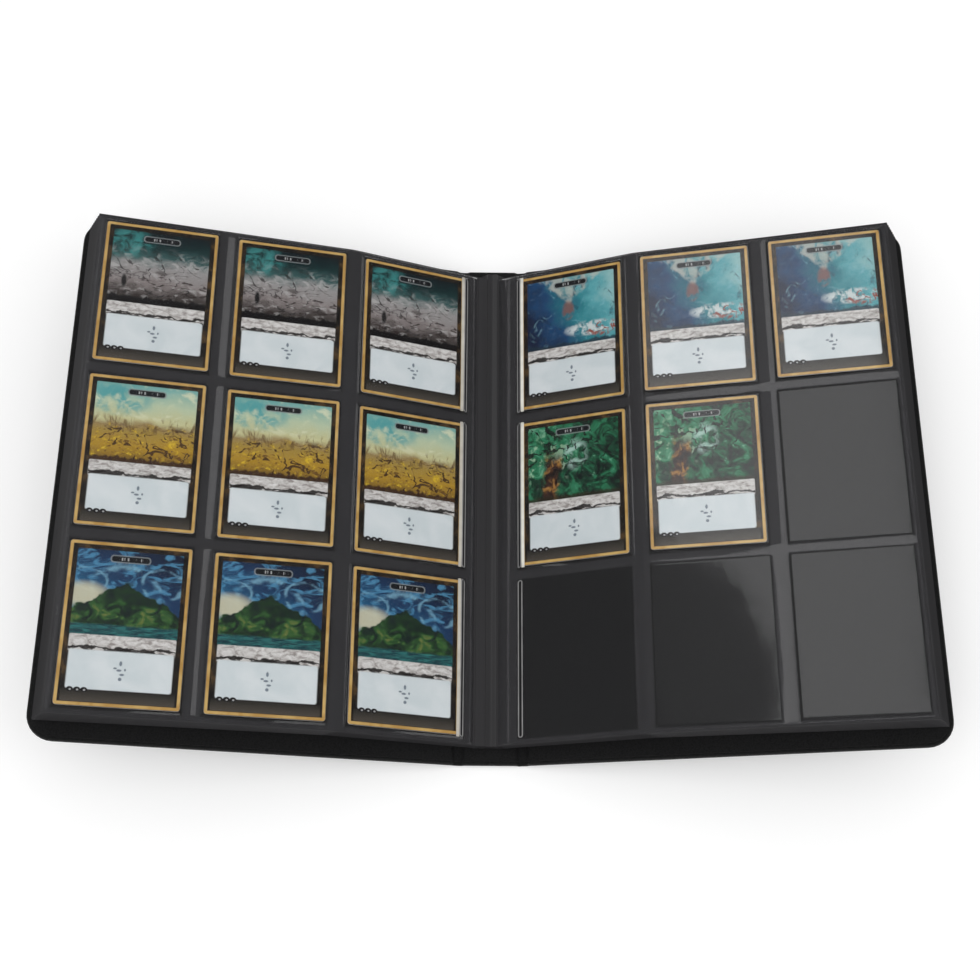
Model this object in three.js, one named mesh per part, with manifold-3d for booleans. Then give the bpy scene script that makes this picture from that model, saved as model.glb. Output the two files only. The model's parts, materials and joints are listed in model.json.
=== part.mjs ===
// Open trading card binder: side-loading pocket leaves bound into a soft, board-stiffened cover.
// Millimetres. +X runs across the open binder to the back cover, +Y to the top of the pages, +Z up.
// The origin is under the middle of the spine, on the surface that the binder lies on.
// Each wing is drawn in its own flat frame: s runs from its hinge outwards, y along the page, and
// n up from the sheet. side is -1 for the front wing (left) and +1 for the back wing (right).

import * as THREE from 'three';
import { mergeVertices } from 'three/addons/utils/BufferGeometryUtils.js';
import Module from 'manifold-3d';

const wasm = await Module();
wasm.setup();

// Standard trading card
const CARD_W = 63;
const CARD_H = 88;
const CARD_T = 0.32;
const CARD_R = 3;

// Page grid: rows down the page, columns out from the spine
const ROWS = 3;
const OUTER_COLS = 2; // columns beyond the bending weld; one more lies between it and the spine
const COL_GAP = 11.8;
const ROW_GAP = 8.6;
const ROOT_MARGIN = 16; // from the leaf's root to the first card
const EDGE_MARGIN = 5; // from the last card to the leaf's outer edge
const END_MARGIN = 4.4; // from the card rows to the leaf's top and bottom
const LEAF_R = 2;
const INNER_T = 0.45;
const OUTER_T = 0.9;

// Pockets of clear film on the two facing pages
const POCKET_RISE = 1; // degrees; each pocket lifts towards its opening, so cards pass over the next
const FILM_T = 0.25;
const PLAY = 0.3; // gap between a card and what is under or over it, and between stacked sheets
const POCKET_PLAY = 1; // from a card's side edges to the pocket's welds
const END_PLAY = 0.8; // from a card's far edge to the pocket's closed weld
const WELD = 0.5; // wall of a welded edge
const SLOT = 3; // width of the cut through which a card is loaded
const FILM_INSET = 0.6; // from the film's edge to the panel's edge

// How the leaves are bound: the top leaf's root is nearest the middle, each lower one steps out
const LEAVES = 7;
const ROOT_X = 3;
const ROOT_STEP_X = 0.9;
const ROOT_STEP_Z = 0.7;
const ROOT_GAP = 0.6; // from a leaf's root line to its sheet
const ROOT_CLEAR = 0.7; // from the binding's flank up to the root lines
const BEND_GAP = 0.5; // from the bending weld to each panel
const STRIP_W = 6; // strip of the turning leaf that stays at the spine, up to its fold

// Slopes at rest, in degrees above the surface
const INNER_SLOPE = 22.6;
const OUTER_SLOPE = 14.4;
const STACK_GAP = 0.77; // between the outer panels of two leaves, at their bends
const COVER_SLOPE = 14.2;

// Cover
const SKIN_T = 0.8;
const BOARD_T = 2;
const LINING_T = 0.6;
const COVER_R = 14;
const SKIN_EDGE = 1.5; // the skin's turned edge beyond the board
const LINING_INSET = 1; // the lining stops this far inside the skin
const COVER_END = 9; // the cover stands out beyond the leaves at top and bottom
const COVER_SIDE = 13.4; // and at the side
const HINGE_OUT = 9.6; // from the lowest leaf's root to the cover's fold
const FOLD_GAP = 0.5; // from the fold's axis to the skin on each side
const BOARD_BACK = 4; // from the fold to the boards
const BINDING_RISE = 1.6; // from the binding's underside to the lowest root line

const CORNER_STEPS = 6;

const rad = THREE.MathUtils.degToRad;

// Places worked out from the sizes above
const leafHalf = (ROWS * CARD_H + (ROWS - 1) * ROW_GAP) / 2 + END_MARGIN;
const innerLength = ROOT_MARGIN + CARD_W + COL_GAP / 2;
const outerLength = OUTER_COLS * CARD_W + (OUTER_COLS - 0.5) * COL_GAP + EDGE_MARGIN;
const rootStep = ROOT_STEP_X * Math.sin(rad(INNER_SLOPE)) + ROOT_STEP_Z * Math.cos(rad(INNER_SLOPE));
const leafFan = Math.atan((OUTER_T + STACK_GAP - rootStep) / innerLength); // each lower leaf is flatter
const boardBase = SKIN_T + PLAY;
const bindingBase = boardBase + BOARD_T + PLAY;
const lowRootZ = bindingBase + BINDING_RISE;
const topRootZ = lowRootZ + (LEAVES - 1) * ROOT_STEP_Z;
const lowRootX = ROOT_X + (LEAVES - 1) * ROOT_STEP_X;
const hingeX = lowRootX + HINGE_OUT;
const hingeZ = SKIN_T / 2;
const leafReach = ROOT_X + innerLength * Math.cos(rad(INNER_SLOPE)) + outerLength * Math.cos(rad(OUTER_SLOPE));
const coverLength = (leafReach + COVER_SIDE - hingeX) / Math.cos(rad(COVER_SLOPE));
const coverHalf = leafHalf + COVER_END;

const LOOKS = {
  skin: { color: 0x1b1b1c, roughness: 0.62, metalness: 0 },
  lining: { color: 0x202021, roughness: 0.7, metalness: 0 },
  board: { color: 0x6b6458, roughness: 0.9, metalness: 0 },
  binding: { color: 0x232324, roughness: 0.6, metalness: 0 },
  leaf: { color: 0x3b3b3d, roughness: 0.5, metalness: 0 },
  film: { color: 0x55565a, roughness: 0.15, metalness: 0 },
  card: { color: 0xc79a4f, roughness: 0.4, metalness: 0 },
};

const FRONT_FILLED = [[0, 1, 2], [0, 1, 2], [0, 1, 2]]; // columns that hold a card, row by row
const BACK_FILLED = [[0, 1, 2], [0, 1], []];

/** Adds one named piece with a material of its own. */
function addPiece(parent, name, geometry, look) {
  const mesh = new THREE.Mesh(geometry, new THREE.MeshStandardMaterial(look));
  mesh.name = name;
  parent.add(mesh);
  return mesh;
}

/** Adds a group whose s axis leaves the point (x, z) at a slope in degrees. */
function addFrame(parent, side, x, z, slope) {
  const frame = new THREE.Group();
  frame.position.set(side * x, 0, z);
  frame.rotation.y = -side * rad(slope);
  parent.add(frame);
  return frame;
}

/** Points of one rounded corner, a quarter turn from the given angle, or the bare corner. */
function corner(s, y, radius, quarter) {
  const count = radius > 0 ? CORNER_STEPS : 0;
  const points = [];
  for (let i = 0; i <= count; i += 1) {
    const angle = rad(90) * (quarter + (count ? i / count : 0));
    points.push([s + radius * Math.cos(angle), y + radius * Math.sin(angle)]);
  }
  return points;
}

/** Flat sheet from s0 to s1, standing on n0, with its inner and outer corners rounded. */
function sheet(side, s0, s1, half, n0, thickness, outerR = 0, innerR = 0) {
  const outline = [
    ...corner(s1 - outerR, outerR - half, outerR, 3),
    ...corner(s1 - outerR, half - outerR, outerR, 0),
    ...corner(s0 + innerR, half - innerR, innerR, 1),
    ...corner(s0 + innerR, innerR - half, innerR, 2),
  ];
  const shape = new THREE.Shape(outline.map(([s, y]) => new THREE.Vector2(side * s, y)));
  const geometry = new THREE.ExtrudeGeometry(shape, { depth: thickness, bevelEnabled: false });
  return geometry.translate(0, 0, n0);
}

/** Bar of constant section along y: the profile is drawn in s and n. */
function bar(side, profile, middle, half) {
  const shape = new THREE.Shape(profile.map(([s, n]) => new THREE.Vector2(side * s, n)));
  const geometry = new THREE.ExtrudeGeometry(shape, { depth: 2 * half, bevelEnabled: false });
  return geometry.rotateX(Math.PI / 2).translate(0, middle + half, 0);
}

function toSolid(geometry) {
  geometry.deleteAttribute('normal');
  geometry.deleteAttribute('uv');
  const merged = mergeVertices(geometry, 1e-5);
  const vertProperties = new Float32Array(merged.attributes.position.array);
  const triVerts = new Uint32Array(merged.index.array);
  return new wasm.Manifold(new wasm.Mesh({ numProp: 3, vertProperties, triVerts }));
}

function toGeometry(solid) {
  const mesh = solid.getMesh();
  const geometry = new THREE.BufferGeometry();
  geometry.setAttribute('position', new THREE.BufferAttribute(mesh.vertProperties, 3));
  geometry.setIndex(new THREE.BufferAttribute(mesh.triVerts, 1));
  geometry.computeVertexNormals();
  return geometry;
}

/** Middle of a row of pockets along y, counted from the top of the page. */
const rowMiddle = (row) => ((ROWS - 1) / 2 - row) * (CARD_H + ROW_GAP);

/** Where the cards of a panel start, out from the panel's own root or weld. */
function cardStarts(first, count) {
  return Array.from({ length: count }, (_, i) => first + i * (CARD_W + COL_GAP));
}

/** Height above the sheet's middle of a card's underside, rising from its far edge to the opening. */
const cardUnder = (sheetT, back) => sheetT / 2 + PLAY + back * Math.tan(rad(POCKET_RISE));

/** Clear film over one panel: a flange with a wedge pocket on each card place, open at its slot. */
function pocketFilm(side, s0, s1, sheetT, starts) {
  const flangeBase = sheetT / 2 + PLAY;
  const below = -sheetT;
  let film = toSolid(sheet(side, s0, s1, leafHalf - FILM_INSET, flangeBase, FILM_T));
  const cuts = [];
  for (const start of starts) {
    const far = start + CARD_W + END_PLAY;
    const roof = (s) => cardUnder(sheetT, start + CARD_W - s) + CARD_T + PLAY;
    const shell = [[start, flangeBase], [far + WELD, flangeBase],
      [far + WELD, roof(far + WELD) + FILM_T], [start, roof(start) + FILM_T]];
    const hollow = [[start - SLOT, below], [far, below], [far, roof(far)], [start - SLOT, roof(start - SLOT)]];
    const half = CARD_H / 2 + POCKET_PLAY;
    for (let row = 0; row < ROWS; row += 1) {
      film = film.add(toSolid(bar(side, shell, rowMiddle(row), half + WELD)));
      cuts.push(toSolid(bar(side, hollow, rowMiddle(row), half)));
    }
  }
  for (const cut of cuts) film = film.subtract(cut);
  return toGeometry(film);
}

/** Cards of one panel, lying in their pockets. Columns are named from the spine outwards. */
function addCards(panel, wing, side, sheetT, starts, firstColumn, filled) {
  filled.forEach((columns, row) => {
    starts.forEach((start, i) => {
      const column = firstColumn + i;
      if (!columns.includes(column)) return;
      const card = sheet(-side, 0, CARD_W, CARD_H / 2, 0, CARD_T, CARD_R, CARD_R);
      const mesh = addPiece(panel, `${wing}_card_r${row + 1}_c${column + 1}`, card, LOOKS.card);
      mesh.position.set(side * (start + CARD_W), rowMiddle(row), sheetT / 2 + PLAY);
      mesh.rotation.y = side * rad(POCKET_RISE);
    });
  });
}

/** One leaf: the panel at the spine, and the outer panel that bends at the weld between columns. */
function addLeaf(root, wing, side, number) {
  const down = LEAVES - number;
  const facing = number === LEAVES;
  const name = `${wing}_leaf_${number}`;
  const turning = facing && side < 0;
  const x = ROOT_X + down * ROOT_STEP_X;
  const z = topRootZ - down * ROOT_STEP_Z;
  const inner = addFrame(root, side, x, z, INNER_SLOPE - THREE.MathUtils.radToDeg(down * leafFan));
  const innerStart = turning ? STRIP_W + BEND_GAP : ROOT_GAP;
  const innerEnd = innerLength - BEND_GAP;
  if (turning) {
    const strip = sheet(side, ROOT_GAP, STRIP_W - BEND_GAP, leafHalf, -INNER_T / 2, INNER_T);
    addPiece(inner, `${name}_root`, strip, LOOKS.leaf);
  }
  const innerSheet = sheet(side, innerStart, innerEnd, leafHalf, -INNER_T / 2, INNER_T);
  addPiece(inner, `${name}_inner`, innerSheet, LOOKS.leaf);
  const outer = addFrame(inner, side, innerLength, 0, OUTER_SLOPE - INNER_SLOPE);
  const outerSheet = sheet(side, BEND_GAP, outerLength, leafHalf, -OUTER_T / 2, OUTER_T, LEAF_R);
  addPiece(outer, `${name}_outer`, outerSheet, LOOKS.leaf);
  if (!facing) return;

  const innerCards = cardStarts(ROOT_MARGIN, 1);
  const outerCards = cardStarts(COL_GAP / 2, OUTER_COLS);
  const innerFilm = pocketFilm(side, innerStart + FILM_INSET, innerEnd - FILM_INSET, INNER_T, innerCards);
  const outerFilm = pocketFilm(side, BEND_GAP + FILM_INSET, outerLength - FILM_INSET, OUTER_T, outerCards);
  addPiece(inner, `${name}_inner_film`, innerFilm, LOOKS.film);
  addPiece(outer, `${name}_outer_film`, outerFilm, LOOKS.film);
  const filled = side < 0 ? FRONT_FILLED : BACK_FILLED;
  addCards(inner, wing, side, INNER_T, innerCards, 0, filled);
  addCards(outer, wing, side, OUTER_T, outerCards, 1, filled);
}

/** Cover wing: skin, stiffener board and lining, with air between them at the fold. */
function addCover(root, wing, side) {
  const cover = addFrame(root, side, hingeX, hingeZ, COVER_SLOPE);
  const skinBase = -SKIN_T / 2;
  const boardAt = skinBase + boardBase;
  const liningAt = boardAt + BOARD_T + PLAY;
  const skin = sheet(side, FOLD_GAP, coverLength, coverHalf, skinBase, SKIN_T, COVER_R);
  const board = sheet(side, BOARD_BACK, coverLength - SKIN_EDGE, coverHalf - SKIN_EDGE, boardAt, BOARD_T,
    COVER_R - SKIN_EDGE);
  const lining = sheet(side, BOARD_BACK, coverLength - LINING_INSET, coverHalf - LINING_INSET, liningAt,
    LINING_T, COVER_R - LINING_INSET);
  addPiece(cover, `${wing}_cover_skin`, skin, LOOKS.skin);
  addPiece(cover, `${wing}_cover_board`, board, LOOKS.board);
  addPiece(cover, `${wing}_cover_lining`, lining, LOOKS.lining);
}

/** Spine: skin and board, and the binding block whose flanks carry the leaves' roots. */
function addSpine(root) {
  const skinHalf = hingeX - FOLD_GAP;
  const boardHalf = hingeX - BOARD_BACK - PLAY;
  const skin = sheet(1, -skinHalf, skinHalf, coverHalf, 0, SKIN_T);
  const board = sheet(1, -boardHalf, boardHalf, coverHalf - SKIN_EDGE, boardBase, BOARD_T);
  const crest = topRootZ - ROOT_CLEAR;
  const foot = lowRootX + 2 * ROOT_CLEAR;
  const flank = [[ROOT_X, crest], [lowRootX, lowRootZ - ROOT_CLEAR], [foot, bindingBase]];
  const mirrored = flank.map(([x, z]) => [-x, z]).reverse();
  addPiece(root, 'spine_skin', skin, LOOKS.skin);
  addPiece(root, 'spine_board', board, LOOKS.board);
  addPiece(root, 'page_binding', bar(1, [...flank, ...mirrored], 0, leafHalf), LOOKS.binding);
}

const binder = new THREE.Group();
addSpine(binder);
for (const [wing, side] of [['front', -1], ['back', 1]]) {
  addCover(binder, wing, side);
  for (let number = 1; number <= LEAVES; number += 1) addLeaf(binder, wing, side, number);
}

export default binder;
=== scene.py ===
import json
import math

import bmesh
import bpy
from mathutils import Matrix, Vector
from mathutils import noise as field


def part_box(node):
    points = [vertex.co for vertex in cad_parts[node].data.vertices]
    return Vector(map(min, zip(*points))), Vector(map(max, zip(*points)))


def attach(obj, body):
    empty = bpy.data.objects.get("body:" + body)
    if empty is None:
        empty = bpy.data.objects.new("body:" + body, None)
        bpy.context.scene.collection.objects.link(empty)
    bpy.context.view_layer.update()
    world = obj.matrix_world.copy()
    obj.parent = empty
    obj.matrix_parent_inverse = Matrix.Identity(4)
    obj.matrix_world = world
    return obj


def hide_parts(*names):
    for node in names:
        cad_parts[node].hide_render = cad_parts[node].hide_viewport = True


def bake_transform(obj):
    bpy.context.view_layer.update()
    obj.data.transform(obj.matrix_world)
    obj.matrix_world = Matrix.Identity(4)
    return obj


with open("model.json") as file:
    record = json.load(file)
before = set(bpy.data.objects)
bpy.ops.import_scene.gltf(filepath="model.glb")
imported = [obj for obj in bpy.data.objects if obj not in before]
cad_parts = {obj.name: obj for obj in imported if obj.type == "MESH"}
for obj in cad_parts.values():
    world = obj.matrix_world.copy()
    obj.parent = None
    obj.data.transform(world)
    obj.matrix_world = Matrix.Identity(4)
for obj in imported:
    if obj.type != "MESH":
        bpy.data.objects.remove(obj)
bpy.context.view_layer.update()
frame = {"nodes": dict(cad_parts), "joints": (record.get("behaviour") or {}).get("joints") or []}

bl_info = {
    "name": "Trading card binder",
    "version": (1, 0, 0),
    "blender": (4, 5, 0),
    "location": "3D View > Sidebar > Card binder",
    "description": "Builds the covers, pocket leaves, cards and stage of an open trading card binder",
    "category": "Add Mesh",
}

MM = 0.001
JOINTS = {joint["name"]: joint for joint in frame["joints"]}
LEAVES = sum(name.startswith("back_leaf_") and name.endswith("_bend") for name in JOINTS)
WINGS = {"front": -1, "back": 1}
ROWS = 3
COLUMNS = 3
FILLED = {"front": [[0, 1, 2]] * 3, "back": [[0, 1, 2], [0, 1], []]}

# The fold channel of the cover: share of its depth that the sheets over the boards sink, and what the
# fold keeps of its height.
SINK = 0.6
FOLD_LEFT = 0.75 * MM
# From the cover section's middle line down to the underside of the wrapped boards.
UNDER = 0.4 * MM
# The turning leaf's crease lies this far from its root; a gap is left at it and at every root.
STRIP = 6 * MM
CREASE = 0.06 * MM
NOSE = 0.06 * MM
# How far inside its edge a leaf's rim is rounded, and the width of the film's step beside a pocket.
RIM = 0.4 * MM
FILM_STEP = 1.6 * MM
# A bend is drawn in this many lines to each side of its middle.
BEND_LINES = 3
# Millimetres on a card: its picture's lower and upper edges, and its border with the gold frame.
ART_LOW, ART_HIGH = 37.0, 83.6
SIDE = 4.4


# ---------------------------------------------------------------- sizes and colours a user may change

def length(name, default, about):
    return bpy.props.FloatProperty(name=name, description=about, default=default, precision=5,
                                   min=0.0, subtype="DISTANCE", unit="LENGTH")


def colour(name, default, about):
    return bpy.props.FloatVectorProperty(name=name, description=about, default=default, size=3,
                                         min=0.0, max=1.0, subtype="COLOR")


class CoverLook(bpy.types.PropertyGroup):
    skin: length("Skin", 0.3 * MM, "Thickness of the synthetic leather")
    case: length("Case", 3.4 * MM, "Height of the wrapped boards, without the lining")
    lining: length("Lining", 0.6 * MM, "Thickness of the lining sheet")
    rim: length("Rim", 1.7 * MM, "Radius of the turned edge")
    corner: length("Corner", 14 * MM, "Radius of the outer corners")
    lip: length("Turn-in", 9 * MM, "How far the skin is turned in over the boards")
    inset: length("Lining inset", 2 * MM, "From the cover's edge to the lining")
    channel: length("Channel", 3.6 * MM, "Half the width of the fold between two boards")
    leather: colour("Leather", (0.0085, 0.0088, 0.0088), "Colour of the skin")
    lining_colour: colour("Lining colour", (0.0095, 0.0095, 0.0100), "Colour of the lining")


class PageLook(bpy.types.PropertyGroup):
    inner_thick: length("Inner sheet", 0.45 * MM, "Thickness of the panel at the spine")
    outer_thick: length("Outer sheet", 0.9 * MM, "Thickness of the outer panel")
    column_gap: length("Column gap", 11.8 * MM, "Between two columns of cards")
    row_gap: length("Row gap", 8.6 * MM, "Between two rows of cards")
    root_margin: length("Root margin", 16 * MM, "From the root to the first card")
    weld: length("Weld edge", 1.1 * MM, "Width of the soft step beside a weld")
    emboss: length("Emboss", 0.16 * MM, "How far a weld is pressed into the sheet")
    film: length("Film", 0.09 * MM, "Thickness of the clear film")
    slot: length("Slot", 3 * MM, "Width of the openings beside the spine")
    slit: length("Slit", 0.5 * MM, "Width of the cuts that the outer cards go through")
    play: length("Play", 0.3 * MM, "Gap under a card")
    core: colour("Core", (0.0150, 0.0150, 0.0155), "Colour of the opaque core")
    seam: colour("Seam", (0.0385, 0.0375, 0.0400), "Colour of the core where the film is welded to it")
    haze: colour("Film haze", (0.62, 0.63, 0.66), "Colour of the light that the film scatters")


class CardLook(bpy.types.PropertyGroup):
    width: length("Width", 63 * MM, "Width of a card")
    height: length("Height", 88 * MM, "Height of a card")
    thick: length("Thickness", 0.32 * MM, "Thickness of a card")
    corner: length("Corner", 2.2 * MM, "Radius of a card's corners")
    rise: bpy.props.FloatProperty(name="Rise", description="Slope of a pocket over its sheet",
                                  default=math.radians(1.0), subtype="ANGLE", unit="ROTATION")
    gold: colour("Frame", (0.50, 0.28, 0.065), "Colour of the printed frame")
    stock: colour("Stock", (0.72, 0.70, 0.66), "Colour of the card's cut edge")


class StageLook(bpy.types.PropertyGroup):
    floor: colour("Floor", (0.95, 0.95, 0.95), "Colour of the floor")
    key: bpy.props.FloatProperty(name="Key", description="Power of the main lamp", default=7.0,
                                 subtype="POWER", unit="POWER")
    sky: bpy.props.FloatProperty(name="Sky", description="Strength of the light all round",
                                 default=0.82, min=0.0)
    gleam: bpy.props.FloatProperty(name="Gleam", default=1.0, min=0.0,
                                   description="Brightness of the board that the film reflects")


# ---------------------------------------------------------------- where things are

class Section:
    """Cross-section of a sheet that runs from a start to a fold and on at another slope.

    u runs along the sheet from its start, y along the page and n up from the sheet's middle.
    """

    def __init__(self, side, start, fold, slope_in, slope_out, soft):
        self.side = side
        self.start = Vector(start)
        self.fold = Vector(fold)
        self.into = Vector((math.cos(slope_in), math.sin(slope_in)))
        self.onward = Vector((math.cos(slope_out), math.sin(slope_out)))
        self.soft = soft
        self.turn_at = (self.fold - self.start).length

    def before(self):
        return self.fold - self.into * self.soft

    def after(self):
        return self.fold + self.onward * self.soft

    def point(self, u):
        """Point and direction of the sheet's middle at u."""
        past = u - self.turn_at
        if past <= -self.soft:
            return self.start + self.into * u, self.into
        if past >= self.soft:
            return self.fold + self.onward * past, self.onward
        t = (past + self.soft) / (2 * self.soft)
        a, b = self.before(), self.after()
        place = a * (1 - t) ** 2 + self.fold * 2 * t * (1 - t) + b * t ** 2
        along = ((self.fold - a) * (1 - t) + (b - self.fold) * t).normalized()
        return place, along

    def place(self, u, y, n):
        middle, along = self.point(u)
        return Vector((self.side * (middle.x - n * along.y), y, middle.y + n * along.x))

    def bend_places(self):
        """Values of u at which the sheet needs a line to bend smoothly."""
        return [self.turn_at + self.soft * k / BEND_LINES for k in range(-BEND_LINES, BEND_LINES + 1)]

    def ends(self):
        """The two points between which the sheet bends."""
        a, b = self.before(), self.after()
        return (self.side * a.x, 0, a.y), (self.side * b.x, 0, b.y)


def joint_place(name):
    x, _, z = JOINTS[name]["pos_m"]
    return Vector((abs(x), z))


def card_slope(name):
    """How steeply a card's pocket rises outwards."""
    axis = JOINTS[name]["axis"]
    return math.atan2(-axis[2], abs(axis[0]))


def leaf_root(number):
    """Where a leaf is bound; the two wings are alike."""
    return joint_place(f"back_leaf_{number}_root_fold")


def leaf_section(wing, number):
    rise = bpy.context.scene.binder_cards.rise
    root, bend = leaf_root(number), joint_place(f"{wing}_leaf_{number}_bend")
    inner = math.atan2(bend.y - root.y, bend.x - root.x)
    top_run = joint_place(f"back_leaf_{LEAVES}_bend") - leaf_root(LEAVES)
    top_inner = math.atan2(top_run.y, top_run.x)
    drop = top_inner - card_slope("back_card_r1_c2_slide") - rise
    return Section(WINGS[wing], root, bend, inner, inner - drop, 2.2 * MM)


def cover_section(wing):
    fold = joint_place(f"{wing}_cover_fold")
    low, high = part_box(f"{wing}_cover_skin")
    middle = Vector((0.0, fold.y))
    run = max(abs(low.x), abs(high.x)) - fold.x
    tall = high.z - fold.y - (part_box("spine_skin")[1].z - fold.y)
    slope = math.atan2(tall, run)
    return Section(WINGS[wing], middle, fold, 0.0, slope, 3.3 * MM)


def cover_length(wing):
    section = cover_section(wing)
    low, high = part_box(f"{wing}_cover_skin")
    reach = max(abs(low.x), abs(high.x)) - section.fold.x
    return section.turn_at + reach / section.onward.x


def leaf_length():
    low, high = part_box(f"back_leaf_{LEAVES}_outer")
    section = leaf_section("back", LEAVES)
    half = bpy.context.scene.binder_pages.outer_thick / 2
    reach = high.x - section.fold.x - half * section.onward.y
    return section.turn_at + reach / section.onward.x


def leaf_half():
    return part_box(f"back_leaf_{LEAVES}_outer")[1].y


def row_middle(row):
    cards, pages = bpy.context.scene.binder_cards, bpy.context.scene.binder_pages
    return ((ROWS - 1) / 2 - row) * (cards.height + pages.row_gap)


def column_start(column):
    cards, pages = bpy.context.scene.binder_cards, bpy.context.scene.binder_pages
    return pages.root_margin + column * (cards.width + pages.column_gap)


class Pockets:
    """Where the pockets of a leaf are, and how the sheet and its film lie there."""

    def __init__(self, section):
        self.cards, self.pages = bpy.context.scene.binder_cards, bpy.context.scene.binder_pages
        self.section = section
        self.turn, self.soft = section.turn_at, section.soft
        pages, cards = self.pages, self.cards
        self.starts = [column_start(column) for column in range(COLUMNS)]
        cuts = [pages.slot] + [pages.slit] * (COLUMNS - 1)
        self.lows = [start - cut for start, cut in zip(self.starts, cuts)]
        self.highs = [start + cards.width + 0.8 * MM for start in self.starts]
        self.rows = [row_middle(row) for row in range(ROWS)]
        self.half = cards.height / 2 + 1.0 * MM
        self.reach = self.half - 0.2 * MM
        self.inner, self.outer = pages.inner_thick, pages.outer_thick
        self.emboss, self.weld = pages.emboss, pages.weld
        self.play, self.card = pages.play, cards.thick
        self.slope = math.tan(cards.rise)
        self.width = cards.width

    def thick(self, u):
        share = min(1.0, max(0.0, (u - self.turn + self.soft) / (2 * self.soft)))
        return self.inner + (self.outer - self.inner) * share

    def pressed(self, u, y):
        """1 on a weld and 0 over a pocket, with a soft step between them."""
        across = min(max(smooth(0, self.weld, low - u), smooth(0, self.weld, u - high))
                     for low, high in zip(self.lows, self.highs))
        along = min(smooth(0, self.weld, abs(y - middle) - self.half) for middle in self.rows)
        return max(across, along)

    def film(self, u, y, filled):
        """Height of the film over the sheet's middle: low on welds and up over each pocket."""
        thick = self.thick(u)
        weld = thick / 2 - self.emboss + 0.05 * MM
        soft = FILM_STEP
        for column, (start, high) in enumerate(zip(self.starts, self.highs)):
            if not start - 0.05 * MM <= u <= high + soft:
                continue
            for row, middle in enumerate(self.rows):
                off = abs(y - middle)
                if off > self.half + soft:
                    continue
                back = start + self.width - u
                top = thick / 2 + self.play + back * self.slope + self.card + 0.12 * MM
                if column not in filled[row]:
                    top = thick / 2 + 0.10 * MM + back * self.slope * 0.4
                bulge = math.cos(0.5 * math.pi * min(1.0, off / self.half))
                wander = field.noise(Vector((u * 34, y * 26, column + 3.1 * row)))
                top += (0.05 + 0.06 * bulge + 0.02 * wander * bulge) * MM
                low = max(smooth(0, soft, u - high), smooth(0, soft, off - self.half + soft * 0.35))
                return weld + (top - weld) * (1 - low)
        return weld

    def across_places(self, soft, count):
        places = []
        for low, start, high in zip(self.lows, self.starts, self.highs):
            places += [low - soft, low - soft / 2, low, start, high, high + soft / 2, high + soft]
            places += [start + 0.3 * MM, start + 0.9 * MM, high - 0.9 * MM, high - 0.3 * MM]
            places += [start + (high - start) * k / (count + 1) for k in range(1, count + 1)]
        return places

    def along_places(self, soft, count, extra=()):
        places = []
        for middle in self.rows:
            for sign in (-1, 1):
                places += [middle + sign * (self.half + soft * k / 2) for k in (-1.4, -0.7, -0.35, 0, 1, 2)]
                places += [middle + sign * reach for reach in extra]
            places += [middle + self.half * (2 * k / (count + 1) - 1) for k in range(1, count + 1)]
        return places


def lines_between(low, high, places):
    """The places between two ends, in order and never closer than a hair."""
    kept = [low]
    for place in sorted(places):
        if place - kept[-1] > 0.04 * MM and high - place > 0.04 * MM:
            kept.append(place)
    return kept + [high]


def lined_grid(bm, us, ys):
    """A flat grid whose lines run through the given places."""
    made = bmesh.ops.create_grid(bm, x_segments=len(us) - 1, y_segments=len(ys) - 1, size=0.5)
    for v in made["verts"]:
        across = round((v.co.x + 0.5) * (len(us) - 1))
        along = round((v.co.y + 0.5) * (len(ys) - 1))
        v.co = (us[across], ys[along], 0)


def smooth(low, high, value):
    t = min(1.0, max(0.0, (value - low) / (high - low)))
    return t * t * (3 - 2 * t)


def nose(u):
    """Share of a sheet's thickness near its root, which is rounded."""
    return 0.35 + 0.65 * math.sqrt(smooth(0, 0.35 * MM, u))


def groove(off):
    """Share of a sheet's thickness that is left beside its crease."""
    return 0.14 + 0.86 * smooth(CREASE, 0.75 * MM, abs(off))


def fold_depth(u, fold, look):
    """1 in the middle of the channel between two boards, and 0 beyond it."""
    return 1 - smooth(look.channel * 0.55, look.channel * 1.25, abs(u - fold))


def fold_drop(look):
    """How far the sheets over the boards sink in the middle of the channel."""
    return SINK * (look.case - FOLD_LEFT)


# ---------------------------------------------------------------- mesh work

def outline(bm, u0, u1, half, radius, inner_radius=0.0):
    """Draws one flat face in u and y, with its corners rounded."""
    made = bmesh.ops.create_grid(bm, x_segments=1, y_segments=1, size=0.5)
    bmesh.ops.scale(bm, vec=(u1 - u0, 2 * half, 1), verts=made["verts"])
    bmesh.ops.translate(bm, vec=((u0 + u1) / 2, 0, 0), verts=made["verts"])
    middle = (u0 + u1) / 2
    for size, outer in ((radius, True), (inner_radius, False)):
        if size <= 0:
            continue
        corners = [v for v in bm.verts if (v.co.x > middle) == outer and abs(abs(v.co.y) - half) < 1e-7]
        round_corners(bm, corners, size, 8)


def round_corners(bm, corners, radius, segments):
    bmesh.ops.bevel(bm, geom=corners, offset=radius, segments=segments, profile=0.5, affect="VERTICES",
                    material=-1)


def extrude(bm, faces, move):
    """Draws faces out into a solid, with its faces outwards."""
    raised = bmesh.ops.extrude_face_region(bm, geom=faces)
    verts = [item for item in raised["geom"] if isinstance(item, bmesh.types.BMVert)]
    bmesh.ops.translate(bm, vec=move, verts=verts)
    bmesh.ops.recalc_face_normals(bm, faces=bm.faces[:])


def thicken(bm, height):
    """Raises the flat outline into a plate that stands on n = 0."""
    extrude(bm, bm.faces[:], (0, 0, height))


def score(bm, axis, places):
    """Cuts every face across at each place along an axis."""
    direction = Vector((axis == 0, axis == 1, axis == 2))
    for place in places:
        bmesh.ops.bisect_plane(bm, geom=bm.verts[:] + bm.edges[:] + bm.faces[:], dist=1e-8,
                               plane_co=direction * place, plane_no=direction)


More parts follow.
